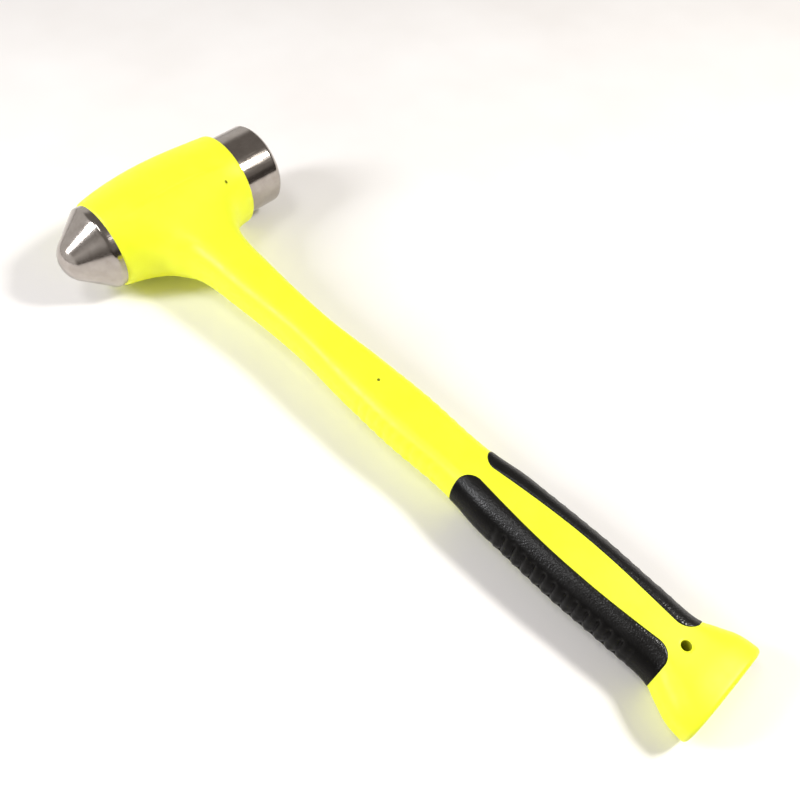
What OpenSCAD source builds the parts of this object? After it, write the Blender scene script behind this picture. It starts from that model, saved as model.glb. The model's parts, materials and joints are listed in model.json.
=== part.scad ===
// Dead-blow hammer with two steel ends, for working a tyre bead off its rim.
// It lies on its side: X runs along the head (flat face at +X, nose at -X), the handle runs to -Y
// and Z is the thickness. Lengths marked "along the handle" are counted from the head's own axis.

/* [Head] */
// Radius of the steel face and of the nose where it leaves the jacket
steel_r = 28; // [26:0.5:30]
// Distance from the handle's centre line to the flat face
face_reach = 78; // [74:0.5:85]
// Distance from the handle's centre line to the tip of the nose
nose_reach = 81; // [76:0.5:90]
// Where the jacket ends on the face side
face_lip_x = 48.5; // [46:0.5:52]
// Where the jacket ends on the nose side
nose_lip_x = 51.5; // [49:0.5:54]
// Radius of the blunt tip of the nose
nose_tip_r = 17; // [12:0.5:19]
// Length of the straight land between the jacket and the nose's cone
nose_land = 4; // [1:0.5:5]
// Radius of the jacket at its lip round the nose
nose_lip_r = 28.8; // [28.5:0.1:31]
// Radius of the jacket at its lip round the face
face_lip_r = 31.7; // [30.5:0.1:34]
// How far the jacket crowns between its two lips
crown = 4.2; // [2:0.1:6]
// Chamfer round the rim of the flat face
face_chamfer = 3.5; // [0.5:0.1:4.5]

/* [Shot canister] */
// Outer radius of the steel canister
can_r = 24; // [22:0.5:25]
// Inner radius of the steel canister
can_bore_r = 20; // [17:0.5:21]
// Length of the spigots that close the canister
spigot_len = 10; // [6:0.5:12]
// Thickness of the discs that keep the shot off the spigots
plug_t = 3; // [2:0.5:4]
// Radius of one steel ball
ball_r = 3.8; // [3:0.1:3.9]
// Number of layers of balls
ball_layers = 4; // [2:1:5]

/* [Handle] */
// Where the handle ends, along the handle
butt_y = 446; // [444:1:470]
// Rounding of the butt's end edge
butt_round = 4; // [2:0.5:6]
// Radius of the steel core rod
rod_r = 7; // [5:0.5:8]
// Distance of the lanyard hole along the handle
lanyard_y = 418.5; // [416:0.5:424]
// Radius of the lanyard hole
lanyard_r = 2.6; // [2:0.1:3]

/* [Grip pads] */
// Where the pads start along the handle
pad_start = 279; // [275:1:285]
// Where the pads end along the handle
pad_end = 417; // [410:1:418]
// How far a pad stands proud of the jacket
pad_proud = 1.2; // [0.3:0.1:1.4]
// Number of finger ribs on a pad
ribs = 13; // [8:1:15]
// Depth of the dips between the ribs
rib_depth = 1; // [0.4:0.1:1.4]

/* [Hidden] */
$fn = 96;

yellow = [0.93, 1, 0.1];
black = [0.08, 0.08, 0.09];
steel = [0.55, 0.53, 0.51];
dull_steel = [0.42, 0.42, 0.44];
weld_grey = [0.3, 0.3, 0.32];

// the handle's outline: distance along it, half width, half thickness
stations = [[14, 40, 29], [30, 33, 25.5], [42, 27, 21.5], [52, 20.8, 19], [64, 17.8, 17.4],
    [85, 16.4, 15.6], [115, 14.8, 14.3], [150, 14.3, 13.8], [190, 16.8, 13.7], [230, 18.2, 13.6],
    [272, 17, 13.3], [305, 19, 13.8], [355, 20.4, 14.2], [390, 19.6, 13.9], [414, 20.2, 14],
    [424, 25, 14.4], [434, 29.6, 15], [446, 31, 15], [460, 31, 15]];
last = len(stations) - 1;
squareness = 2.7;       // exponent of the rounded, slightly flat-sided handle section
section_points = 24;

seat_depth = 11;        // how deep each steel end sits inside the jacket
can_face_x = face_lip_x - seat_depth;
can_nose_x = -(nose_lip_x - seat_depth);
cavity_face_x = can_face_x - spigot_len - plug_t;
cavity_nose_x = can_nose_x + spigot_len + plug_t;
bead = 3;               // leg of the weld fillets
socket_r = 11;
socket_end = 50;
rod_start = 27;
thread_end = 410;
washer_y = 398;
washer_t = 2.5;
washer_r = 11.5;
nut_t = 7;
nut_flats = 17;
pin_r = 2.5;
locator_r = 1;          // blind holes left by the mould's locating pins
ball_gap = 0.15;
ball_pitch = 2 * (ball_r + ball_gap);
pad_core_x = 12.5;      // half width of the jacket left under the pads
pad_core_z = 10.2;      // half thickness of the jacket left under the pads
pad_head_x = 5.2;       // where a pad's outline starts from the middle, at its end towards the head
pad_butt_x = 7;         // and at its end towards the butt
pad_bow = 3.6;          // how much further out the outline bows halfway along
pad_round = 9;          // corner rounding of a pad's outline
plain_head = 32;        // stretch of a pad without ribs, towards the head
plain_butt = 15;        // and towards the butt

crown_at = function(t) nose_lip_r + (face_lip_r - nose_lip_r) * t + crown * sin(180 * pow(t, 0.82));
barrel_r = function(x) crown_at((x + nose_lip_x) / (face_lip_x + nose_lip_x));
max_r = max([for (i = [0:100]) crown_at(i / 100)]);

// cubic through the stations; column 1 is the half width and column 2 the half thickness
function slope(i, c) = let (a = max(i - 1, 0), b = min(i + 1, last))
    (stations[b][c] - stations[a][c]) / (stations[b][0] - stations[a][0]);
function span(d, i = 0) = (i >= last - 1 || d < stations[i + 1][0]) ? i : span(d, i + 1);
function outline(d, c) = let (i = span(d), w = stations[i + 1][0] - stations[i][0],
        t = (d - stations[i][0]) / w)
    (2 * t * t * t - 3 * t * t + 1) * stations[i][c] + (t * t * t - 2 * t * t + t) * w * slope(i, c)
    + (3 * t * t - 2 * t * t * t) * stations[i + 1][c] + (t * t * t - t * t) * w * slope(i + 1, c);

// how far the outline draws in over the rounding at the butt's end
function end_inset(d) = let (u = max(0, d - (butt_y - butt_round)))
    butt_round - sqrt(max(0, butt_round * butt_round - u * u));

// dips between the ribs, which fade in and out at the pad's two plain ends
function rib_dip(d) = let (a = pad_start + plain_head, b = pad_end - plain_butt)
    (d < a || d > b) ? 0 : rib_depth * (0.5 - 0.5 * cos(360 * ribs * (d - a) / (b - a)));

function signed_pow(v, p) = sign(v) * pow(abs(v), p);
function section(d, grow, dip) = [for (i = [0:section_points - 1]) let (a = 360 * i / section_points)
    [(outline(d, 1) - end_inset(d) + grow - dip) * signed_pow(cos(a), 2 / squareness), -d,
    (outline(d, 2) - end_inset(d) + grow) * signed_pow(sin(a), 2 / squareness)]];

// a closed tube of sections, one for each distance in the list
module loft(distances, grow = 0, dips = false) {
    n = section_points;
    m = len(distances);
    points = [for (d = distances) each section(d, grow, dips ? rib_dip(d) : 0)];
    walls = [for (j = [0:m - 2]) for (i = [0:n - 1]) let (k = (i + 1) % n)
        each [[j * n + i, (j + 1) * n + k, j * n + k], [j * n + i, (j + 1) * n + i, (j + 1) * n + k]]];
    caps = [[for (i = [0:n - 1]) i], [for (i = [n - 1:-1:0]) (m - 1) * n + i]];
    polyhedron(points = points, faces = concat(walls, caps));
}

module place() {
    translate([(nose_reach - face_reach) / 2, (butt_y - max_r) / 2, max_r]) children();
}

// a solid of revolution about the head's axis from [x, radius] points
module spun(profile) {
    rotate([90, 0, 90]) rotate_extrude() polygon([for (p = profile) [p[1], p[0]]]);
}

module along_x(x0, x1, r) {
    translate([x0, 0, 0]) rotate([0, 90, 0]) cylinder(h = x1 - x0, r = r);
}

module along_handle(d0, d1, r) {
    translate([0, -d0, 0]) rotate([90, 0, 0]) cylinder(h = d1 - d0, r = r);
}

module barrel() {
    steps = 16;
    spun(concat([[-nose_lip_x, 0]],
        [for (i = [0:steps]) let (x = -nose_lip_x + (nose_lip_x + face_lip_x) * i / steps)
            [x, barrel_r(x)]], [[face_lip_x, 0]]));
}

module handle_bar() {
    loft(concat([for (d = [14:12:398]) d], [for (d = [404:6:440]) d],
        [for (a = [0:30:90]) butt_y - butt_round + butt_round * sin(a)]));
}

// outline of one pad seen from above, on the side given by s (+1 face side, -1 nose side):
// two rounded corners, joined along the middle strip by a slanted line bowed by half a sine wave
module pad_outline(s) {
    length = pad_end - pad_start;
    far = 40;
    steps = 16;
    corner = [for (a = [90:15:180]) pad_round * [cos(a), sin(a)]];
    strip = [for (i = [1:steps - 1]) let (t = i / steps)
        [pad_head_x + (pad_butt_x - pad_head_x) * t + pad_bow * sin(180 * t),
        -pad_round - (length - 2 * pad_round) * t]];
    translate([0, -pad_start]) mirror([s < 0 ? 1 : 0, 0]) polygon(concat([[far, 0]],
        [for (c = corner) [pad_head_x + pad_round + c[0], c[1] - pad_round]], strip,
        [for (i = [len(corner) - 1:-1:0])
            [pad_butt_x + pad_round + corner[i][0], pad_round - length - corner[i][1]]],
        [[far, -length]]));
}

module pad_pocket(s) {
    difference() {
        translate([0, 0, -30]) linear_extrude(height = 60) pad_outline(s);
        translate([-pad_core_x, -butt_y, -pad_core_z])
            cube([2 * pad_core_x, butt_y, 2 * pad_core_z]);
    }
}

module pad(s) {
    intersection() {
        loft([for (d = [pad_start - 1:2:pad_end + 1]) d], pad_proud, true);
        pad_pocket(s);
    }
}

module canister_shell() {
    along_x(can_nose_x, can_face_x, can_r);
}

module face_block() {
    spun([[can_face_x, 0], [can_face_x, steel_r], [face_reach - face_chamfer, steel_r],
        [face_reach, steel_r - face_chamfer], [face_reach, 0]]);
}

// a short land at the collar, a cone, and a round tip that the cone runs into smoothly
module nose_block() {
    centre_x = nose_reach - nose_tip_r;
    back = centre_x - nose_lip_x - nose_land;
    tangent = 90 + atan2(back, steel_r) - acos(nose_tip_r / sqrt(back * back + steel_r * steel_r));
    arc_steps = 16;
    mirror([1, 0, 0]) spun(concat([[-can_nose_x, 0], [-can_nose_x, steel_r],
        [nose_lip_x + nose_land, steel_r]],
        [for (i = [0:arc_steps]) let (a = tangent * (1 - i / arc_steps))
            [centre_x + nose_tip_r * cos(a), nose_tip_r * sin(a)]]));
}

// a ring of weld in the corner between the canister and a steel end
module weld_ring(x, s) {
    spun([[x, can_r], [x - s * bead, can_r], [x, can_r + bead]]);
}

module socket_body() {
    difference() {
        along_handle(can_bore_r + 1, socket_end, socket_r);
        canister_shell();
    }
}

module socket_fillet() {
    translate([0, -socket_end, 0]) rotate([90, 0, 0]) rotate_extrude()
        polygon([[rod_r, 0], [socket_r, 0], [rod_r, socket_r - rod_r]]);
}

module rod_body() {
    along_handle(rod_start, thread_end, rod_r);
}

module cross_pins() {
    for (d = [95, 185, 275]) translate([-11, -d, 0]) rotate([0, 90, 0]) cylinder(h = 22, r = pin_r);
}

module holding_pin() {
    translate([0, -38, -socket_r]) cylinder(h = 2 * socket_r, r = pin_r);
}

module washer_disc() {
    along_handle(washer_y, washer_y + washer_t, washer_r);
}

module nut_body() {
    translate([0, -washer_y - washer_t, 0]) rotate([90, 0, 0])
        cylinder(h = nut_t, r = nut_flats / sqrt(3), $fn = 6);
}

module lanyard_bore() {
    translate([0, -lanyard_y, -20]) cylinder(h = 40, r = lanyard_r);
}

// marks of the pins that held the steel core in the mould
module locator_marks() {
    for (z = [-1, 1]) {
        translate([0, -204, z * 12.7 - 1.5]) cylinder(h = 3, r = locator_r);
        translate([32, -25, z * 22.5 - 3]) cylinder(h = 6, r = locator_r);
    }
}

module jacket() {
    color(yellow) place() difference() {
        union() {
            barrel();
            handle_bar();
        }
        canister_shell();
        face_block();
        nose_block();
        weld_ring(can_face_x, 1);
        weld_ring(can_nose_x, -1);
        along_handle(can_bore_r + 1, socket_end, socket_r);
        socket_fillet();
        rod_body();
        cross_pins();
        holding_pin();
        washer_disc();
        nut_body();
        lanyard_bore();
        locator_marks();
        pad_pocket(1);
        pad_pocket(-1);
    }
}

module nose_side_grip() {
    color(black) place() pad(-1);
}

module face_side_grip() {
    color(black) place() pad(1);
}

module striking_face() {
    color(steel) place() {
        face_block();
        along_x(can_face_x - spigot_len, can_face_x, can_bore_r);
    }
}

module breaker_nose() {
    color(steel) place() {
        nose_block();
        along_x(can_nose_x, can_nose_x + spigot_len, can_bore_r);
    }
}

module shot_canister() {
    color(dull_steel) place() difference() {
        canister_shell();
        along_x(can_nose_x - 1, can_face_x + 1, can_bore_r);
    }
}

module face_end_plug() {
    color(dull_steel) place() along_x(cavity_face_x, cavity_face_x + plug_t, can_bore_r);
}

module nose_end_plug() {
    color(dull_steel) place() along_x(cavity_nose_x - plug_t, cavity_nose_x, can_bore_r);
}

// layers of one ball in the middle, six round it and twelve round those
module steel_shot() {
    middle = (cavity_face_x + cavity_nose_x) / 2;
    color(steel) place() for (k = [0:ball_layers - 1])
        translate([middle + (k - (ball_layers - 1) / 2) * ball_pitch, 0, 0]) {
            sphere(r = ball_r, $fn = 24);
            for (ring = [1, 2]) for (i = [0:6 * ring - 1])
                rotate([60 * i / ring, 0, 0]) translate([0, ring * ball_pitch, 0])
                    sphere(r = ball_r, $fn = 24);
        }
}

module face_weld() {
    color(weld_grey) place() weld_ring(can_face_x, 1);
}

module nose_weld() {
    color(weld_grey) place() weld_ring(can_nose_x, -1);
}

module rod_socket() {
    color(dull_steel) place() difference() {
        socket_body();
        rod_body();
        holding_pin();
    }
}

module socket_weld() {
    color(weld_grey) place() socket_fillet();
}

module socket_pin() {
    color(steel) place() holding_pin();
}

module core_rod() {
    color(dull_steel) place() difference() {
        rod_body();
        holding_pin();
        cross_pins();
    }
}

module anchor_pins() {
    color(steel) place() cross_pins();
}

module rod_washer() {
    color(dull_steel) place() difference() {
        washer_disc();
        rod_body();
    }
}

module rod_nut() {
    color(dull_steel) place() difference() {
        nut_body();
        rod_body();
    }
}

jacket();
nose_side_grip();
face_side_grip();
striking_face();
breaker_nose();
shot_canister();
face_end_plug();
nose_end_plug();
steel_shot();
face_weld();
nose_weld();
rod_socket();
socket_weld();
socket_pin();
core_rod();
anchor_pins();
rod_washer();
rod_nut();
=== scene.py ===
import json
import bpy
import numpy as np
from mathutils import Matrix, Vector


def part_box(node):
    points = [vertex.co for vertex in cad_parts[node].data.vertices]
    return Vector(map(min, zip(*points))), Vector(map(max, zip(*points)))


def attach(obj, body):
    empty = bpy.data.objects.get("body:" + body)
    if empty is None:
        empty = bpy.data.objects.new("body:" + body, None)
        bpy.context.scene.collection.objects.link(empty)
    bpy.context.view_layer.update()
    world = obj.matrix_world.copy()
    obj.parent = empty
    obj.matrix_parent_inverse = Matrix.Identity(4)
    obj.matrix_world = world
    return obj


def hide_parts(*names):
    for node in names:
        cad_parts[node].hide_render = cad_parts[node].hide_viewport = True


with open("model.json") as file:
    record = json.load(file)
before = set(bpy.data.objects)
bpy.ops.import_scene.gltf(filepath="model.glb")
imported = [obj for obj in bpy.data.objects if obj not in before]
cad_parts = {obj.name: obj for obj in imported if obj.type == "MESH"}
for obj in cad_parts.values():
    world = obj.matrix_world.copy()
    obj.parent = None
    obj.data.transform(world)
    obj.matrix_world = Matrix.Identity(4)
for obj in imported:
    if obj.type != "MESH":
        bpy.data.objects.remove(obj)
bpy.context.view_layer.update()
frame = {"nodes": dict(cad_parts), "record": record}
print("frame loaded:", len(frame["nodes"]), "nodes")

# All shapes below are in millimetres about the head's own axis: x along the head with the flat face
# at +x, y along the handle with the butt at -y, z through the thickness. zeroPoint, the place of
# their origin, is worked out from the CAD's striking face.
mmPerMetre = 1000
faceReach = 78.0        # from the handle's middle line to the flat face
faceLow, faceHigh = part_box("striking_face")
zeroPoint = np.array([
    faceHigh.x * mmPerMetre - faceReach,
    (faceLow.y + faceHigh.y) / 2 * mmPerMetre,
    (faceLow.z + faceHigh.z) / 2 * mmPerMetre])


def toFrame(points):
    # millimetres about the head's axis to metres in the frame
    return (np.asarray(points, float) + zeroPoint) / mmPerMetre


def surfaceMesh(name, rings, wrap=True, firstTip=None, lastTip=None, sharpAngle=None):
    # rings: (rows, columns, 3) in millimetres. Neighbouring rows are joined by quads; wrap joins the
    # last column to the first; a tip is one point that closes the first or the last row with a fan.
    rows, cols = rings.shape[:2]
    i, j = np.meshgrid(np.arange(rows - 1), np.arange(cols if wrap else cols - 1), indexing="ij")
    k = (j + 1) % cols
    corners = [i * cols + j, i * cols + k, (i + 1) * cols + k, (i + 1) * cols + j]
    quads = np.stack(corners, -1).reshape(-1, 4)
    points = rings.reshape(-1, 3)
    triangles = []
    column = np.arange(cols)
    after = (column + 1) % cols
    for tip, row, turn in ((firstTip, 0, True), (lastTip, rows - 1, False)):
        if tip is None:
            continue
        apex = np.full(cols, len(points))
        points = np.vstack([points, np.asarray(tip, float)[None]])
        edge = [row * cols + column, row * cols + after]
        triangles.append(np.stack([apex] + (edge[::-1] if turn else edge), -1))
    triangles = np.vstack(triangles) if triangles else np.zeros((0, 3), int)
    flat = np.vstack([quads[:, [0, 1, 2]], quads[:, [0, 2, 3]], triangles])
    a, b, c = points[flat[:, 0]], points[flat[:, 1]], points[flat[:, 2]]
    middle = points.mean(0)
    volume = np.einsum("ij,ij->", a - middle, np.cross(b - middle, c - middle))
    if volume < 0:        # inside out, so every face is turned round
        quads, triangles = quads[:, ::-1], triangles[:, ::-1]
    loops = np.concatenate([quads.ravel(), triangles.ravel()]).astype(np.int32)
    sizes = np.concatenate([np.full(len(quads), 4), np.full(len(triangles), 3)]).astype(np.int32)
    mesh = bpy.data.meshes.new(name)
    mesh.vertices.add(len(points))
    mesh.vertices.foreach_set("co", toFrame(points).astype(np.float32).ravel())
    mesh.loops.add(len(loops))
    mesh.loops.foreach_set("vertex_index", loops)
    mesh.polygons.add(len(sizes))
    starts = np.concatenate([[0], np.cumsum(sizes)[:-1]])
    mesh.polygons.foreach_set("loop_start", starts.astype(np.int32))
    mesh.polygons.foreach_set("use_smooth", np.ones(len(sizes), bool))
    mesh.update(calc_edges=True)
    mesh.validate()
    if sharpAngle:
        mesh.set_sharp_from_angle(angle=np.radians(sharpAngle))
    thing = bpy.data.objects.new(name, mesh)
    bpy.context.scene.collection.objects.link(thing)
    return thing


def arcPoints(centre, radius, start, stop, count):
    # points on a circle in the (along, radius) plane, angles in degrees from the +along direction
    a = np.radians(np.linspace(start, stop, count))
    return np.stack([centre[0] + radius * np.cos(a), centre[1] + radius * np.sin(a)], -1)


def spunRings(profile, columns, axis="x"):
    # each profile point (along, radius) becomes a circle round the axis: (along, r cos a, r sin a)
    profile = np.asarray(profile, float)
    a = np.linspace(0, 2 * np.pi, columns, endpoint=False)
    along = np.repeat(profile[:, :1], columns, 1)
    ringA, ringB = profile[:, 1:] * np.cos(a), profile[:, 1:] * np.sin(a)
    order = {"x": (along, ringA, ringB), "z": (ringA, ringB, along)}[axis]
    return np.stack(order, -1)


def refined(profile, step):
    # adds points along each straight stretch of a profile so that none is longer than step
    out = [profile[0]]
    for p, q in zip(profile[:-1], profile[1:]):
        count = max(1, int(np.ceil(np.hypot(*(q - p)) / step)))
        out.extend(p + (q - p) * (n + 1) / count for n in range(count))
    return np.array(out)


def cut(body, tools):
    # takes the tools' shapes out of the body and throws the tools away
    for tool in tools:
        step = body.modifiers.new("hole", "BOOLEAN")
        step.operation, step.solver, step.object = "DIFFERENCE", "EXACT", tool
    bpy.context.view_layer.update()
    finished = body.evaluated_get(bpy.context.evaluated_depsgraph_get())
    made = bpy.data.meshes.new_from_object(finished)
    body.modifiers.clear()
    old = body.data
    body.data = made
    bpy.data.meshes.remove(old)
    for tool in tools:
        bpy.data.objects.remove(tool)


def linear(hexColour):
    # sRGB hex to Blender's linear colour
    c = np.array([int(hexColour[n:n + 2], 16) for n in (1, 3, 5)]) / 255
    c = np.where(c <= 0.04045, c / 12.92, ((c + 0.055) / 1.055) ** 2.4)
    return (*c, 1.0)


def fill(node, inputs):
    # sockets by name or number: each takes a plain value, another socket, or a node's first output
    for key, value in inputs.items():
        socket = node.inputs[key]
        if isinstance(value, bpy.types.Node):
            value = value.outputs[0]
        if isinstance(value, bpy.types.NodeSocket):
            node.id_data.links.new(value, socket)
        else:
            socket.default_value = value


def addNode(tree, kind, settings=None, inputs=None):
    # one node with its own properties and its inputs; stops are a ramp's (position, colour or grey)
    node = tree.nodes.new("ShaderNode" + kind)
    for key, value in (settings or {}).items():
        if key != "stops":
            setattr(node, key, value)
            continue
        elements = node.color_ramp.elements
        while len(elements) < len(value):
            elements.new(1.0)
        for element, (position, colour) in zip(elements, value):
            element.position = position
            element.color = linear(colour) if isinstance(colour, str) else (colour, colour, colour, 1)
    fill(node, inputs or {})
    return node


def newMaterial(name):
    # an empty material with its shader, its output and the object's own coordinates
    material = bpy.data.materials.new(name)
    material.use_nodes = True
    tree = material.node_tree
    tree.nodes.clear()
    shader = addNode(tree, "BsdfPrincipled")
    addNode(tree, "OutputMaterial", inputs={"Surface": shader})
    place = addNode(tree, "TexCoord").outputs["Object"]
    return material, tree, shader, place


def grain(tree, place, size, detail=2.0, rough=0.5, stretch=(1, 1, 1)):
    # a pattern whose blobs are about size millimetres across, stretched along an axis where stretch
    # is below 1
    moved = addNode(tree, "Mapping", inputs={"Vector": place, "Scale": stretch})
    return addNode(tree, "TexNoise", inputs={
        "Vector": moved, "Scale": mmPerMetre / size, "Detail": detail, "Roughness": rough})


def bumped(tree, shader, layers):
    # layers of (height, depth in millimetres); each bump feeds the next and the last one the shader
    normal = None
    for height, depth in layers:
        inputs = {"Height": height, "Distance": depth / mmPerMetre, "Strength": 1.0}
        if normal is not None:
            inputs["Normal"] = normal
        normal = addNode(tree, "Bump", inputs=inputs)
    fill(shader, {"Normal": normal})


camLook = {
    "place": (-228.1, -413.0, 420.8),               # millimetres about the head's axis
    "turn": -50.0, "drop": 53.93, "roll": 6.755,    # degrees: heading, looking down, tilt
    "lens": 40.18, "sensor": 36.0,
    "nearest": 0.01, "farthest": 50.0,              # metres that the camera sees between
}


def makeCamera():
    turn, drop, roll = np.radians([camLook["turn"], camLook["drop"], camLook["roll"]])
    ahead = np.array([-np.sin(turn) * np.cos(drop), np.cos(turn) * np.cos(drop), -np.sin(drop)])
    right = np.cross(ahead, [0, 0, 1])
    right /= np.linalg.norm(right)
    up = np.cross(right, ahead)
    # the roll turns right and up about the line of sight
    right, up = (right * np.cos(roll) + up * np.sin(roll), up * np.cos(roll) - right * np.sin(roll))
    data = bpy.data.cameras.new("camera")
    data.lens, data.sensor_width = camLook["lens"], camLook["sensor"]
    data.clip_start, data.clip_end = camLook["nearest"], camLook["farthest"]
    camera = bpy.data.objects.new("camera", data)
    turned = Matrix(np.stack([right, up, -ahead], 1).tolist()).to_4x4()
    camera.matrix_world = Matrix.Translation(Vector(toFrame(camLook["place"]))) @ turned
    bpy.context.scene.collection.objects.link(camera)
    bpy.context.scene.camera = camera


tableLook = {    # millimetres about the head's axis
    "reach": 6000.0,                        # half its side
    "crownGap": 0.04, "gap": 0.05,          # air left under the head's crown, and under the hammer
    "buttY": -443.5, "buttZ": -15.05,       # the edge of the butt that rests on it
    "pale": "#f8f6f5", "dull": "#f1eeec", "rough": 0.55, "shine": 0.3,
    "blotchSize": 160, "gritSize": 1.2, "gritDepth": 0.015,
}


def makeFloor():
    # the hammer lies on the crown of its head and on the edge of its butt, so the table leans with it
    t = tableLook
    crownZ = -jacketShape["crownRadius"] - t["crownGap"]
    lean = (t["buttZ"] - crownZ) / t["buttY"]
    size = t["reach"]
    corners = [(-size, -size), (size, -size), (size, size), (-size, size)]
    points = toFrame([(x, y, crownZ - t["gap"] + lean * y) for x, y in corners])
    mesh = bpy.data.meshes.new("table")
    mesh.from_pydata([tuple(p) for p in points], [], [(0, 1, 2, 3)])
    floor = bpy.data.objects.new("table", mesh)
    bpy.context.scene.collection.objects.link(floor)
    # white laminate board: an even satin sheet, very slightly blotched
    material, tree, shader, place = newMaterial("satin white board")
    blotch = grain(tree, place, t["blotchSize"], detail=3, rough=0.6)
    colour = addNode(tree, "ValToRGB", {"stops": [(0.3, t["dull"]), (0.7, t["pale"])]}, {"Fac": blotch})
    bumped(tree, shader, [(grain(tree, place, t["gritSize"]), t["gritDepth"])])
    fill(shader, {"Base Color": colour, "Roughness": t["rough"], "Specular IOR Level": t["shine"]})
    mesh.materials.append(material)


lampAim = (0, -180, 0)        # the lamps point at the middle of the hammer
lampLook = {    # direction towards each lamp, distance and sizes in metres, power in watts
    "key": {
        "towards": (0.46, -0.44, 0.77), "far": 1.3, "size": (0.2, 0.2),
        "power": 12.2, "tint": "#fffdf8"},
    "panel": {
        "towards": (-0.30, 0.13, 0.94), "far": 1.5, "size": (0.5, 0.32),
        "power": 3.6, "tint": "#ffffff"},
    "window": {
        "towards": (-0.70, 0.46, 0.55), "far": 1.2, "size": (0.22, 0.5),
        "power": 8.8, "tint": "#fbfcff"},
}
roomLook = {
    "wall": "#8f8a86", "back": "#f4f1ee", "shade": "#4f4a46", "strength": 0.85,
    # each side fades between two values of a unit direction's height, and of its reach that way
    "shadeHeight": (0.24, 0.38), "shadeSide": (0.45, 0.70),
    "backHeight": (0.40, 0.65), "backSide": (0.05, 0.38), "backX": 0.6, "backY": 0.8,
}


def makeLights():
    for name, look in lampLook.items():
        data = bpy.data.lights.new(name, "AREA")
        data.shape, data.size, data.size_y = "RECTANGLE", look["size"][0], look["size"][1]
        data.energy, data.color = look["power"], linear(look["tint"])[:3]
        lamp = bpy.data.objects.new(name, data)
        towards = Vector(look["towards"]).normalized()
        place = Vector(toFrame(lampAim)) + towards * look["far"]
        turned = towards.to_track_quat("Z", "Y").to_matrix().to_4x4()
        lamp.matrix_world = Matrix.Translation(place) @ turned
        bpy.context.scene.collection.objects.link(lamp)


def makeRoom():
    # grey all round, with a dark near side and a bright far side, low down, for the steel to mirror
    look = roomLook
    world = bpy.data.worlds.new("room")
    world.use_nodes = True
    tree = world.node_tree
    background = tree.nodes["Background"]
    direction = addNode(tree, "TexCoord").outputs["Generated"]
    parts = addNode(tree, "SeparateXYZ", inputs={"Vector": direction}).outputs
    smooth = {"interpolation_type": "SMOOTHSTEP"}        # 0 at From Min, 1 at From Max
    times, plus, minus = {"operation": "MULTIPLY"}, {"operation": "ADD"}, {"operation": "SUBTRACT"}
    low, high = look["shadeHeight"]
    up = addNode(tree, "MapRange", smooth, {"Value": parts["Z"], "From Min": low, "From Max": high})
    nearLow = addNode(tree, "Math", minus, {0: 1.0, 1: up})
    near = addNode(tree, "Math", times, {0: parts["Y"], 1: -1.0})
    low, high = look["shadeSide"]
    nearSide = addNode(tree, "MapRange", smooth, {"Value": near, "From Min": low, "From Max": high})
    low, high = look["backHeight"]
    up = addNode(tree, "MapRange", smooth, {"Value": parts["Z"], "From Min": low, "From Max": high})
    farLow = addNode(tree, "Math", minus, {0: 1.0, 1: up})
    away = addNode(tree, "Math", minus, {
        0: addNode(tree, "Math", times, {0: parts["Y"], 1: look["backY"]}),
        1: addNode(tree, "Math", times, {0: parts["X"], 1: look["backX"]})})
    low, high = look["backSide"]
    farSide = addNode(tree, "MapRange", smooth, {"Value": away, "From Min": low, "From Max": high})
    level = addNode(tree, "Math", minus, {
        0: addNode(tree, "Math", times, {0: farLow, 1: farSide}),
        1: addNode(tree, "Math", times, {0: nearLow, 1: nearSide})})
    # the level runs from -1 to 1 and the colours from 0 to 1
    half = addNode(tree, "Math", times, {0: level, 1: 0.5})
    amount = addNode(tree, "Math", plus, {0: half, 1: 0.5})
    stops = [(0.0, look["shade"]), (0.5, look["wall"]), (1.0, look["back"])]
    colour = addNode(tree, "ValToRGB", {"stops": stops}, {"Fac": amount})
    fill(background, {"Color": colour, "Strength": look["strength"]})
    bpy.context.scene.world = world
    bpy.context.scene.view_settings.view_transform = "Standard"


jacketShape = {
    "noseLip": 51.5, "faceLip": 48.5,       # where the moulding stops round each steel end
    "noseRadius": 28.8, "faceRadius": 31.7, "crown": 4.2, "crownSkew": 0.82,
    "crownX": -1.5, "crownRadius": 34.36,   # top of the head, where the rings start
    "lipRound": 1.6, "neckBlend": 10.0,     # rounding of the lips, reach of the fillet at the neck
    "squareness": 2.7,                      # section near the handle's ends: 2 is an ellipse
    "facetStart": 95.0, "facetFull": 150.0, "facetFade": 410.0, "facetEnd": 428.0,
    "creaseX": 0.64, "creaseDrop": 0.6, "cornerZ": 0.5, "creaseRound": 2.4, "cornerRound": 4.0,
    "handleTop": 16.0, "topSlope": 2,       # where the handle closes inside the head, and how steeply
    "buttEnd": 446.0, "buttRound": 2.6,
    "ribStart": 198.0, "ribEnd": 268.0, "ribCount": 10, "ribDepth": 1.1,
    "ribReach": 10.5, "ribSoft": 3.0,       # height where the side ribs end, and their run-out there
    "pocketDepth": 2.6,                     # how far the skin steps in under the grip pads
    "centreShift": 20,                      # reach of the move from the crown's middle to the handle's
    "topRings": 84, "topFrom": 0.03, "topTo": 0.62 * np.pi,    # rings and angles over the head's top
    "rings": 330, "endRings": 10, "capSteps": (0.8, 0.55, 0.3), "columns": 230,
    "holeSides": 48, "mouthPoints": 8,
}
# holes through or into the broad sides: middle, radius, half length, and radius within which the hole
# is darkened by painted shade
jacketHoles = {
    "lanyard": {
        "at": (0, -418.5), "up": 0, "radius": 2.6, "half": 20,
        "mouth": 14.1, "mouthRound": 0.9, "paintedShade": 2.8},
    "handleMark": {"at": (0, -204), "up": 15.2, "radius": 1.0, "half": 3, "paintedShade": 1.02},
    "headMark": {"at": (32, -25), "up": 23.5, "radius": 0.9, "half": 3, "paintedShade": 0.92},
}
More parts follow.
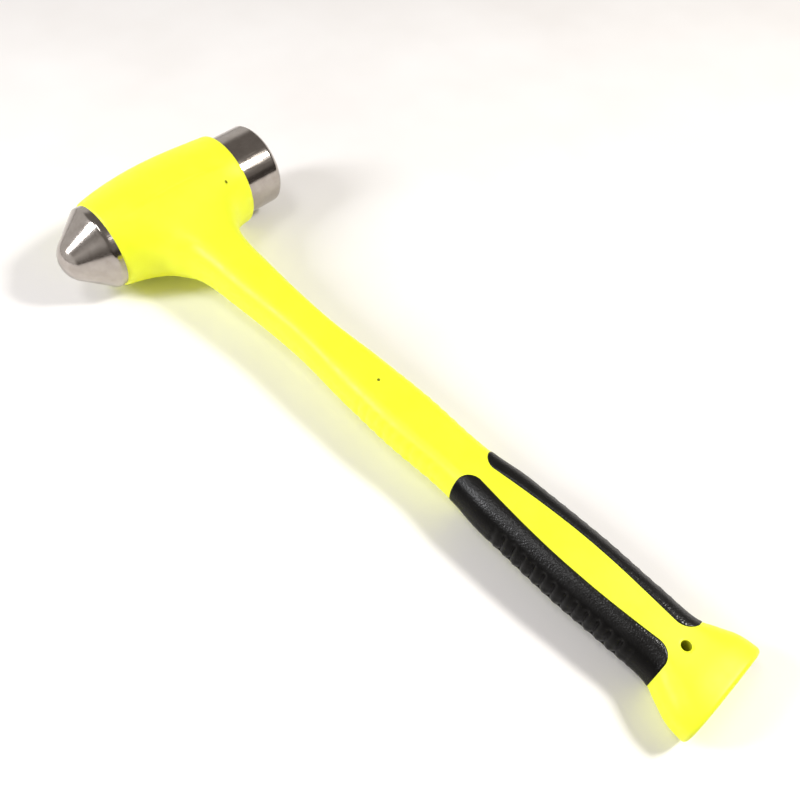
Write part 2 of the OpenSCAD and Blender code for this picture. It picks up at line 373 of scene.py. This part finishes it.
# the handle's outline: distance from the head's axis, half width, half thickness
halfWidth, halfThick = 1, 2        # columns of handleStations
handleStations = np.array([
    [14, 40, 29], [30, 33, 25.5], [42, 27, 21.5], [52, 20.8, 19], [64, 17.8, 17.4], [85, 16.4, 15.6],
    [115, 14.8, 14.3], [150, 14.3, 13.8], [190, 16.8, 13.7], [230, 18.2, 13.6], [272, 17, 13.3],
    [305, 19, 13.8], [355, 20.4, 14.2], [390, 19.6, 13.9], [414, 20.2, 14], [424, 25, 14.4],
    [434, 29.6, 15], [446, 31, 15], [460, 31, 15]])


def outlineAt(distance, column):
    # cubic curve through the stations, with each station's slope taken from its two neighbours
    knots, values = handleStations[:, 0], handleStations[:, column]
    slopes = np.gradient(values, knots)
    slopes[1:-1] = (values[2:] - values[:-2]) / (knots[2:] - knots[:-2])
    i = np.clip(np.searchsorted(knots, distance, side="right") - 1, 0, len(knots) - 2)
    width = knots[i + 1] - knots[i]
    t = np.clip((distance - knots[i]) / width, 0, 1)
    return ((2 * t**3 - 3 * t**2 + 1) * values[i] + (t**3 - 2 * t**2 + t) * width * slopes[i]
            + (3 * t**2 - 2 * t**3) * values[i + 1] + (t**3 - t**2) * width * slopes[i + 1])


def barrelRadius(x):
    # straight taper between the two lips plus a crown shaped like half a sine wave
    s = jacketShape
    t = np.clip((x + s["noseLip"]) / (s["noseLip"] + s["faceLip"]), 0, 1)
    crown = s["crown"] * np.sin(np.pi * t**s["crownSkew"])
    return s["noseRadius"] + (s["faceRadius"] - s["noseRadius"]) * t + crown


def softMin(a, b, reach):
    # the smaller of two distances, rounded where they are within reach of each other
    h = np.clip(0.5 + 0.5 * (b - a) / reach, 0, 1)
    return b * (1 - h) + a * h - reach * h * (1 - h)


def softMax(a, b, reach):
    # the larger of two distances, rounded in the same way
    return -softMin(-a, -b, reach)


def roundedMax(a, b, radius):
    # the larger of two distances, with the corner rounded to the radius
    outer = np.hypot(np.maximum(a + radius, 0), np.maximum(b + radius, 0)) - radius
    return np.where((a > -radius) & (b > -radius), outer, np.maximum(a, b))


def fade(value, start, stop):
    # 0 before start and 1 after stop, smooth between
    t = np.clip((value - start) / (stop - start), 0, 1)
    return t * t * (3 - 2 * t)


def ribWave(distance, start, stop, count, bluntness=0.5):
    # round-backed ribs with sharp dips: 1 in a dip and 0 on a rib's back
    phase = (distance - start) / (stop - start) * count
    wave = 1 - np.abs(np.sin(np.pi * phase))**bluntness
    half, early = 0.5, 0.2        # of a rib's pitch: the first and last ribs fade in over these
    ends = fade(phase, -early, half) * (1 - fade(phase, count - half, count + early))
    return np.where((phase > -half) & (phase < count + half), wave * ends, 0)


def handleField(x, y, z):
    # signed distance, roughly, to the handle. Its two ends have the section |x/w|^n + |z/t|^n = 1;
    # between them the section is a gently crowned top, a sloping shoulder and an upright side, joined
    # by rounded corners. The last term closes the handle inside the head.
    s = jacketShape
    distance, x, z = -y, np.abs(x), np.abs(z)
    over = np.maximum(distance - (s["buttEnd"] - s["buttRound"]), 0)
    inset = s["buttRound"] - np.sqrt(np.maximum(s["buttRound"]**2 - over**2, 0))
    ribs = s["ribDepth"] * ribWave(distance, s["ribStart"], s["ribEnd"], s["ribCount"])
    ribs = ribs * (1 - fade(z, s["ribReach"] - s["ribSoft"], s["ribReach"]))
    width = outlineAt(distance, halfWidth) - inset - ribs
    thick = outlineAt(distance, halfThick) - inset
    n = s["squareness"]
    oval = (((x / width)**n + (z / thick)**n)**(1 / n) - 1) * np.minimum(width, thick)
    creaseX, creaseZ, cornerZ = s["creaseX"] * width, thick - s["creaseDrop"], s["cornerZ"] * thick
    run, drop = width - creaseX, creaseZ - cornerZ
    shoulder = ((x - creaseX) * drop + (z - creaseZ) * run) / np.hypot(run, drop)
    top = z - thick + s["creaseDrop"] * (x / creaseX)**2
    faceted = softMax(softMax(top, shoulder, s["creaseRound"]), x - width, s["cornerRound"])
    amount = fade(distance, s["facetStart"], s["facetFull"])
    amount = amount * (1 - fade(distance, s["facetFade"], s["facetEnd"]))
    closing = s["topSlope"] * np.maximum(s["handleTop"] - distance, 0)
    return oval + (faceted - oval) * amount + closing


def underPads(x, y):
    # 1 well inside a pad's outline and 0 at its edge and beyond
    p = padShape
    inside = fade(np.abs(x) - padEdgeX(-y), *p["pocketSide"])
    rise, full = p["pocketEnd"]
    start = fade(-y, p["start"] + rise, p["start"] + full)
    return inside * start * (1 - fade(-y, p["end"] - full, p["end"] - rise))


def jacketField(x, y, z):
    # signed distance, roughly, to the whole jacket: the head's barrel, cut off flat with rounded lips,
    # run into the handle by a fillet
    s = jacketShape
    barrel = np.hypot(y, z) - barrelRadius(x)
    ends = np.maximum(x - s["faceLip"], -s["noseLip"] - x)
    handle = handleField(x, y, z) + s["pocketDepth"] * underPads(x, y)
    return softMin(roundedMax(barrel, ends, s["lipRound"]), handle, s["neckBlend"])


def reachOut(field, y, centre, angle, longest=80.0, steps=34):
    # distance from the centre line to the skin along each angle, by halving the interval
    shape = np.broadcast(y, angle).shape
    low, high = np.zeros(shape), np.full(shape, longest)
    c, s = np.cos(angle), np.sin(angle)
    for _ in range(steps):
        mid = (low + high) / 2
        inside = field(centre + mid * c, y, mid * s) < 0
        low, high = np.where(inside, mid, low), np.where(inside, high, mid)
    return low


def evenAngles(field, y, centre, columns):
    # angles that space a section's points evenly along it, and closer together where it turns sharply
    cornerPull = 6.0        # a turn of one radian counts as this many millimetres
    fine = np.linspace(0, 2 * np.pi, 1081)        # a trial point every third of a degree
    reach = reachOut(field, y, centre, fine[None, :], steps=26)
    dx = np.diff(centre + reach * np.cos(fine), axis=1)
    dz = np.diff(reach * np.sin(fine), axis=1)
    heading = np.unwrap(np.arctan2(dz, dx), axis=1)
    turning = np.abs(np.diff(heading, axis=1, append=heading[:, :1] + 2 * np.pi))
    weight = np.hypot(dx, dz) + cornerPull * turning
    total = np.concatenate([np.zeros((len(y), 1)), np.cumsum(weight, 1)], 1)
    wanted = np.arange(columns) / columns
    return np.stack([np.interp(wanted * row[-1], row, fine) for row in total])


def ringStations():
    # y of each ring: closer together over the top of the head and round the butt's end
    s = jacketShape
    top = s["crownRadius"] * np.cos(np.linspace(s["topFrom"], s["topTo"], s["topRings"]))
    straightEnd = -(s["buttEnd"] - s["buttRound"])
    run = np.linspace(top[-1], straightEnd, s["rings"])[1:]
    turn = np.linspace(0, np.pi / 2, s["endRings"])[1:]
    return np.concatenate([top, run, straightEnd - s["buttRound"] * np.sin(turn)])


def makeJacket():
    # a ring at each station along y, where rays from the middle line meet the jacket's field
    s = jacketShape
    y = ringStations()[:, None]
    # the rays' centre moves from under the crown to the handle's middle
    centre = s["crownX"] * (1 - fade(-y, -s["centreShift"], s["centreShift"]))
    angle = evenAngles(jacketField, y, centre, s["columns"])
    reach = reachOut(jacketField, y, centre, angle)
    x, z = centre + reach * np.cos(angle), reach * np.sin(angle)
    rings = np.stack([x, np.broadcast_to(y, angle.shape), z], -1)
    shrink = np.array(s["capSteps"])[:, None, None]
    last = rings[-1] * [1, 0, 1]
    cap = last[None] * shrink + [0, -s["buttEnd"], 0]
    rings = np.concatenate([rings, cap])
    body = surfaceMesh("jacket_skin", rings, firstTip=(s["crownX"], s["crownRadius"], 0),
                       lastTip=(0, -s["buttEnd"], 0))
    print("jacket grid", rings.shape)
    holes = [drill("lanyard", 1)]
    for side in (-1, 1):
        holes.append(drill("handleMark", side))
        holes.append(drill("headMark", side))
    cut(body, holes)
    return body


def drill(name, side):
    # a drill's shape along z on one broad side; with a mouth height, its ends flare by a small round
    # where they meet the skin
    hole = jacketHoles[name]
    centre = np.array([*hole["at"], side * hole["up"]], float)
    radius, half = hole["radius"], hole["half"]
    if "mouth" in hole:
        mouth, soft = hole["mouth"], hole["mouthRound"]
        flare = arcPoints((mouth - soft, radius + soft), soft, 270, 360, jacketShape["mouthPoints"])
        upper = np.vstack([flare, [(mouth, radius + soft), (half, radius + soft)]])
        profile = np.vstack([upper[::-1] * [-1, 1], upper])
    else:
        profile = np.array([(-half, radius), (half, radius)])
    rings = spunRings(profile, jacketShape["holeSides"], "z") + centre
    tips = [centre + [0, 0, profile[n][0]] for n in (0, -1)]
    return surfaceMesh(name, rings, firstTip=tips[0], lastTip=tips[1])


padShape = {
    "start": 279.0, "end": 417.0,           # along the handle
    "headX": 5.2, "buttX": 7.0, "bow": 3.6, "cornerRound": 9.0,      # outline on the broad side
    "proudEnds": 0.4, "proudMiddle": 1.25,  # height over the jacket at the ends and in the middle
    "swellFrom": 2, "swell": 24.0, "edgeRound": 1.2,
    "lap": 0.9, "sunk": 1.2,                # how far the pad runs on under the skin, and how deep
    "pocketSide": (2.0, 4.5), "pocketEnd": (3, 6),    # where the pocket deepens, in from the outline
    "ribStart": 311.2, "ribEnd": 402.2, "ribCount": 13, "ribDepth": 2.1,
    "ribTop": 9.8, "ribFade": 3.5, "ribBluntness": 0.85,
    "rows": 360, "columns": 150, "crowding": 0.7, "wall": 1.6,
}


def padEdgeX(distance):
    # the pad's edge on the broad side: a slanted line bowed by half a sine wave
    p = padShape
    straight = p["end"] - p["start"] - 2 * p["cornerRound"]
    run = np.clip((distance - p["start"] - p["cornerRound"]) / straight, 0, 1)
    return p["headX"] + (p["buttX"] - p["headX"]) * run + p["bow"] * np.sin(np.pi * run)


def makePad(name, side):
    # grid over the pad: rows along the handle, columns round the section from one long edge to the
    # other. Its height over the jacket is a round-edged plateau that dives under the skin at the
    # outline, less the ribs.
    p = padShape
    u = np.linspace(0, 1, p["rows"])
    distance = (p["start"] - p["lap"] + (p["end"] - p["start"] + 2 * p["lap"]) * u)[:, None]
    y = -distance
    edgeX = padEdgeX(distance) - p["lap"]
    edgeAngle = np.arctan2(outlineAt(distance, halfThick), edgeX)
    fine = np.linspace(-1, 1, 721) * edgeAngle        # trial points from one long edge to the other
    reach = reachOut(handleField, y, 0.0, fine, steps=26)
    arc = np.hypot(np.diff(reach * np.cos(fine), axis=1), np.diff(reach * np.sin(fine), axis=1))
    arc = np.concatenate([np.zeros((len(u), 1)), np.cumsum(arc, 1)], 1)
    v = np.linspace(0, 1, p["columns"])
    # columns crowd at the edges and the middle
    v = v - p["crowding"] * np.sin(4 * np.pi * v) / (4 * np.pi)
    angle = np.stack([np.interp(v * a[-1], a, f) for a, f in zip(arc, fine)])
    # how far in a point is from the long edges, from the two ends, and from the rounded outline
    sides = np.minimum(v * arc[:, -1:], (1 - v) * arc[:, -1:]) - p["lap"]
    ends = np.minimum(distance - p["start"], p["end"] - distance)
    r = p["cornerRound"]
    inward = np.maximum(r, np.minimum(ends, sides))
    inward = inward - np.hypot(np.maximum(r - ends, 0), np.maximum(r - sides, 0))
    e = np.clip(inward / p["edgeRound"], 0, 1)
    swell = fade(ends, p["swellFrom"], p["swell"])
    proud = p["proudEnds"] + (p["proudMiddle"] - p["proudEnds"]) * swell
    height = proud * np.sqrt(1 - (1 - e)**2) + np.minimum(inward, 0) * p["sunk"] / p["lap"]
    reach = reachOut(handleField, y, 0.0, angle)
    x, z = reach * np.cos(angle), reach * np.sin(angle)
    ribs = ribWave(distance, p["ribStart"], p["ribEnd"], p["ribCount"], p["ribBluntness"])
    ribs = ribs * (1 - fade(np.abs(z), p["ribTop"] - p["ribFade"], p["ribTop"]))
    height = height - p["ribDepth"] * ribs
    push = 1 + height / np.hypot(x, z)
    points = np.stack([side * x * push, np.broadcast_to(y, x.shape), z * push], -1)
    pad = surfaceMesh(name, points, wrap=False)
    wall = pad.modifiers.new("wall", "SOLIDIFY")
    wall.thickness, wall.offset = p["wall"] / mmPerMetre, -1
    return pad


steelShape = {
    "radius": 28.0, "seat": 9.0,            # seat: how far each end runs on inside the jacket
    "rimRound": 4.0, "rimCut": 0.55,        # the face's rim, and how much it is cut towards a chamfer
    "rimKeep": 0.12,                        # share of the round left standing over the chamfer
    "faceCrown": 0.9, "poleRadius": 0.8,    # the face's bulge, and the last ring round its middle
    "noseReach": 81.0, "tipRadius": 17.0, "land": 4.0,
    # the corner between land and cone: where it starts and how far it dips, before and after
    "cornerBack": (1.2, 0.5), "cornerAhead": (0.5, 1.4), "cornerDip": (0.04, 0.05),
    "rimPoints": 22, "facePoints": 40, "tipPoints": 60, "columns": 288, "sharpAngle": 60,
    "rimGap": 0.3, "wallStep": 1.5, "coneStep": 0.8,    # spacing of the profiles' points
    "tipStop": 2,                           # degrees from the pole to the tip's last ring
}


def makeStrikingFace():
    # profile of the face block: buried cylinder, a rounded chamfer at the rim, a slightly crowned face
    k = steelShape
    r, c = k["radius"], k["rimRound"]
    rimX = faceReach - k["faceCrown"]
    a = np.radians(np.linspace(0, 90, k["rimPoints"]))
    rim = np.stack([rimX - c + c * np.sin(a), r - c + c * np.cos(a)], -1)
    middle = np.array([rimX - c / 2, r - c / 2]) + k["rimKeep"] * c
    over = (rim @ [1, 1] - middle @ [1, 1])[:, None] / 2
    rim = rim - np.maximum(over, 0) * k["rimCut"]        # flattened towards a straight chamfer
    radii = np.linspace(r - c, k["poleRadius"], k["facePoints"])[1:]
    crown = np.stack([rimX + k["faceCrown"] * (1 - (radii / (r - c))**2), radii], -1)
    seatX = jacketShape["faceLip"] - k["seat"]
    wall = refined(np.array([(seatX, r), rim[0] - [k["rimGap"], 0]]), k["wallStep"])
    profile = np.vstack([wall, rim, crown])
    return surfaceMesh("face_steel", spunRings(profile, k["columns"]), firstTip=(seatX, 0, 0),
                       lastTip=(faceReach, 0, 0), sharpAngle=k["sharpAngle"])


def makeNose():
    # profile of the nose: buried cylinder, straight land, cone, and a round tip that the cone touches
    # at a tangent
    k = steelShape
    r, tip = k["radius"], k["tipRadius"]
    centre = k["noseReach"] - tip
    back = centre - jacketShape["noseLip"] - k["land"]
    tangent = 90 + np.degrees(np.arctan2(back, r) - np.arccos(tip / np.hypot(back, r)))
    seat = np.array([jacketShape["noseLip"] - k["seat"], r])
    shoulder = np.array([jacketShape["noseLip"] + k["land"], r])
    end = arcPoints((centre, 0), tip, tangent, k["tipStop"], k["tipPoints"])
    ahead = (end[0] - shoulder) / np.hypot(*(end[0] - shoulder))
    (backFar, backNear), (nearAhead, farAhead) = k["cornerBack"], k["cornerAhead"]
    dipBack, dipAhead = k["cornerDip"]
    corner = [shoulder - [backFar, 0], shoulder - [backNear, dipBack],
              shoulder + ahead * nearAhead - [0, dipAhead], shoulder + ahead * farAhead]
    body = refined(np.vstack([[seat], corner, end[:1]]), k["coneStep"])
    profile = np.vstack([body, end[1:]])
    rings = spunRings(profile, k["columns"]) * [-1, 1, 1]
    return surfaceMesh("nose_steel", rings, firstTip=(-seat[0], 0, 0),
                       lastTip=(-k["noseReach"], 0, 0), sharpAngle=k["sharpAngle"])


def around(tree, place, centre, flat):
    # distance in millimetres from a point, line or plane of the hammer; flat has a 0 for each axis that
    # doesn't count
    offset = [-c for c in toFrame(centre)]
    moved = addNode(tree, "Mapping", {"vector_type": "POINT"}, {"Vector": place, "Location": offset})
    kept = addNode(tree, "VectorMath", {"operation": "MULTIPLY"}, {0: moved, 1: flat})
    metres = addNode(tree, "VectorMath", {"operation": "LENGTH"}, {0: kept}).outputs["Value"]
    return addNode(tree, "Math", {"operation": "MULTIPLY"}, {0: metres, 1: mmPerMetre})


jacketLook = {    # sizes and depths of the patterns in millimetres
    "deep": "#eff72c", "pale": "#f5fb36", "cloudSize": 45,
    # painted shade inside the holes: the darker colour and the dimmed glow used there
    "paintedShade": "#a3a41a", "glow": "#e2ee00", "paintedShadeGlow": "#4a4c00", "glowStrength": 0.07,
    "smudgeSize": 9, "smooth": 0.36, "rough": 0.52,
    "waveSize": 14, "waveDepth": 0.10, "textureSize": 0.9, "textureDepth": 0.025,
}


def jacketMaterial():
    # cast polyurethane with a fluorescent pigment: satin and faintly see-through, with a fine mould
    # texture and a painted glow that lifts its shaded sides; painted shade darkens the lanyard hole and
    # the marks of the mould's pins
    look = jacketLook
    material, tree, shader, place = newMaterial("fluorescent cast urethane")
    cloud = grain(tree, place, look["cloudSize"], detail=3, rough=0.55)
    stops = [(0.3, look["deep"]), (0.7, look["pale"])]
    colour = addNode(tree, "ValToRGB", {"stops": stops}, {"Fac": cloud})
    # painted shade: inside the lanyard hole and the pin marks the colour is darkened and the glow
    # dimmed, standing in for the shade in these recesses
    paintedShade = None
    for hole in jacketHoles.values():
        offLine = around(tree, place, (*hole["at"], 0), (1, 1, 0))
        inHole = addNode(tree, "Math", {"operation": "LESS_THAN"}, {0: offLine, 1: hole["paintedShade"]})
        if paintedShade is None:
            paintedShade = inHole
        else:
            paintedShade = addNode(tree, "Math", {"operation": "MAXIMUM"}, {0: paintedShade, 1: inHole})
    colourWithPaintedShade = addNode(tree, "Mix", {"data_type": "RGBA"},
                   {"Factor": paintedShade, "A": colour, "B": linear(look["paintedShade"])})
    # painted glow: an even emission over the jacket that lifts its shaded sides, dimmed to painted
    # shade inside the holes
    glow = addNode(tree, "Mix", {"data_type": "RGBA"},
                   {"Factor": paintedShade, "A": linear(look["glow"]), "B": linear(look["paintedShadeGlow"])})
    worn = grain(tree, place, look["smudgeSize"], detail=4, rough=0.65)
    stops = [(0.3, look["smooth"]), (0.75, look["rough"])]
    roughness = addNode(tree, "ValToRGB", {"stops": stops}, {"Fac": worn})
    wave = grain(tree, place, look["waveSize"])
    texture = grain(tree, place, look["textureSize"], detail=3, rough=0.6)
    bumped(tree, shader, [(wave, look["waveDepth"]), (texture, look["textureDepth"])])
    fill(shader, {
        "Base Color": colourWithPaintedShade.outputs["Result"], "Roughness": roughness,
        "IOR": 1.49, "Specular IOR Level": 0.4,
        "Emission Color": glow.outputs["Result"], "Emission Strength": look["glowStrength"],
        "Subsurface Weight": 0.15, "Subsurface Scale": 0.003, "Subsurface Radius": (1.0, 0.9, 0.15)})
    return material


gripLook = {    # sizes, depths and places in millimetres
    "dark": "#060505", "dusty": "#0d0c0b", "dustSize": 6, "smooth": 0.27, "rough": 0.37,
    "pebbleSize": 0.9, "pebbleDepth": 0.13, "gritSize": 0.5, "gritDepth": 0.02,
    "pebbleHeight": (6.5, 9.0),             # pebbled above this height, smoother on the ribs below it
    "ribsMiddle": -356.5, "ribsReach": (43.0, 48.0),    # and pebbled beyond the ends of the ribs
    "ribPebble": 0.15,                      # share of the pebbles' depth left on the ribs
    "buffedHeight": (9.5, 13.0), "shine": 0.08, "buffedShine": 0.3,
}


def gripMaterial():
    # overmoulded thermoplastic rubber: near black and pebbled like leather, smoother on the finger ribs
    look = gripLook
    material, tree, shader, place = newMaterial("pebbled black rubber")
    dust = grain(tree, place, look["dustSize"], detail=4, rough=0.6)
    stops = [(0.25, look["dark"]), (0.8, look["dusty"])]
    colour = addNode(tree, "ValToRGB", {"stops": stops}, {"Fac": dust})
    stops = [(0.2, look["smooth"]), (0.8, look["rough"])]
    roughness = addNode(tree, "ValToRGB", {"stops": stops}, {"Fac": dust})
    smooth = {"interpolation_type": "SMOOTHSTEP"}        # 0 at From Min, 1 at From Max
    times, plus = {"operation": "MULTIPLY"}, {"operation": "ADD"}
    height = around(tree, place, (0, 0, 0), (0, 0, 1))
    along = around(tree, place, (0, look["ribsMiddle"], 0), (0, 1, 0))
    low, high = look["pebbleHeight"]
    above = addNode(tree, "MapRange", smooth, {"Value": height, "From Min": low, "From Max": high})
    low, high = look["ribsReach"]
    beyond = addNode(tree, "MapRange", smooth, {"Value": along, "From Min": low, "From Max": high})
    grained = addNode(tree, "Math", {"operation": "MAXIMUM"}, {0: above, 1: beyond})
    grained = addNode(tree, "Math", times, {0: grained, 1: 1 - look["ribPebble"]})
    grained = addNode(tree, "Math", plus, {0: grained, 1: look["ribPebble"]})
    pebble = addNode(tree, "TexVoronoi", {"feature": "SMOOTH_F1"}, {
        "Vector": place, "Scale": mmPerMetre / look["pebbleSize"], "Smoothness": 0.4})
    pebble = addNode(tree, "Math", times, {0: pebble, 1: grained})
    grit = grain(tree, place, look["gritSize"])
    bumped(tree, shader, [(pebble, look["pebbleDepth"]), (grit, look["gritDepth"])])
    # the crests have been rubbed glossier by the hand
    low, high = look["buffedHeight"]
    buffed = addNode(tree, "MapRange", smooth, {"Value": height, "From Min": low, "From Max": high})
    shine = addNode(tree, "Math", times, {0: buffed, 1: look["buffedShine"]})
    shine = addNode(tree, "Math", plus, {0: shine, 1: look["shine"]})
    fill(shader, {
        "Base Color": colour, "Roughness": roughness, "Specular IOR Level": shine, "IOR": 1.5})
    return material


polishedLook = {    # sizes and depths of the patterns in millimetres
    "dark": "#a8a099", "bright": "#b9b2ac", "smearSize": 7, "rough": 0.09, "rubbed": 0.12,
    "toolPitch": 0.35, "toolDepth": 0.004,  # real tool marks are finer; these are as fine as show
    "rubSize": 0.6, "rubLength": 0.06, "rubDepth": 0.002, "waveSize": 11, "waveDepth": 0.03,
}


def turnedSteelMaterial():
    # turned and polished alloy steel: rings of fine tool marks round the head's axis, and long light
    # rubs, over a surface that waves just enough to bend what it mirrors
    look = polishedLook
    material, tree, shader, place = newMaterial("polished turned steel")
    smear = grain(tree, place, look["smearSize"], detail=4, rough=0.6)
    stops = [(0.3, look["dark"]), (0.75, look["bright"])]
    colour = addNode(tree, "ValToRGB", {"stops": stops}, {"Fac": smear})
    radius = around(tree, place, (0, 0, 0), (0, 1, 1))
    length = around(tree, place, (0, 0, 0), (1, 0, 0))
    lathe = addNode(tree, "CombineXYZ", inputs={"X": radius, "Y": length})
    marks = addNode(tree, "TexNoise", inputs={
        "Vector": lathe, "Scale": 1 / look["toolPitch"], "Detail": 2.0})
    rubs = grain(tree, place, look["rubSize"], detail=3, rough=0.6, stretch=(look["rubLength"], 1, 1))
    stops = [(0.3, look["rough"]), (0.75, look["rough"] + look["rubbed"])]
    roughness = addNode(tree, "ValToRGB", {"stops": stops}, {"Fac": rubs})
    wave = grain(tree, place, look["waveSize"])
    bumped(tree, shader, [
        (wave, look["waveDepth"]), (marks, look["toolDepth"]), (rubs, look["rubDepth"])])
    fill(shader, {"Base Color": colour, "Roughness": roughness, "Metallic": 1.0})
    return material


# the hidden steelwork, by the record's slot: tints, size and depth of the scale in millimetres
innerSteels = {
    "plain_steel": {
        "name": "drawn steel", "dark": "#5d5e61", "bright": "#6f7073",
        "size": 3.0, "depth": 0.02, "rough": 0.35},
    "shot": {
        "name": "tumbled shot", "dark": "#85827e", "bright": "#9a9792",
        "size": 1.5, "depth": 0.01, "rough": 0.22},
    "weld": {
        "name": "rippled weld", "dark": "#3a3a3d", "bright": "#56524f",
        "size": 1.2, "depth": 0.15, "rough": 0.4},
    "fasteners": {
        "name": "plain fastener steel", "dark": "#6a6b6e", "bright": "#7d7e80",
        "size": 2.0, "depth": 0.01, "rough": 0.3},
}


def innerSteelMaterial(look):
    # drawn tube and rod, tumbled balls, and fasteners dulled by mill scale, or the ripple of a weld
    material, tree, shader, place = newMaterial(look["name"])
    scale = grain(tree, place, look["size"], detail=5, rough=0.65)
    stops = [(0.3, look["dark"]), (0.7, look["bright"])]
    colour = addNode(tree, "ValToRGB", {"stops": stops}, {"Fac": scale})
    stops = [(0.3, look["rough"]), (0.7, look["rough"] + 0.15)]
    roughness = addNode(tree, "ValToRGB", {"stops": stops}, {"Fac": scale})
    bumped(tree, shader, [(scale, look["depth"])])
    fill(shader, {"Base Color": colour, "Roughness": roughness, "Metallic": 1.0})
    return material


def dress(piece, material):
    # the piece wears this material and no other
    piece.data.materials.clear()
    piece.data.materials.append(material)


makeCamera()
makeLights()
makeRoom()
makeFloor()
print("camera, lights and table made")

urethane = jacketMaterial()
rubber = gripMaterial()
polished = turnedSteelMaterial()
print("urethane, rubber and polished steel made")

skin = makeJacket()
dress(skin, urethane)
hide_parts("jacket")
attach(skin, "hammer")
print("jacket made")

for node, side in (("nose_side_grip", -1), ("face_side_grip", 1)):
    pad = makePad(node + "_skin", side)
    dress(pad, rubber)
    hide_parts(node)
    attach(pad, "hammer")
print("grips made")

for node, make in (("striking_face", makeStrikingFace), ("breaker_nose", makeNose)):
    end = make()
    dress(end, polished)
    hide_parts(node)
    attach(end, "hammer")
print("steel ends made")

slotMaterials = {slot: innerSteelMaterial(look) for slot, look in innerSteels.items()}
for part in frame["record"]["subparts"]:
    if part["material_slot"] in slotMaterials:
        dress(frame["nodes"][part["node"]], slotMaterials[part["material_slot"]])
print("inner steel dressed")
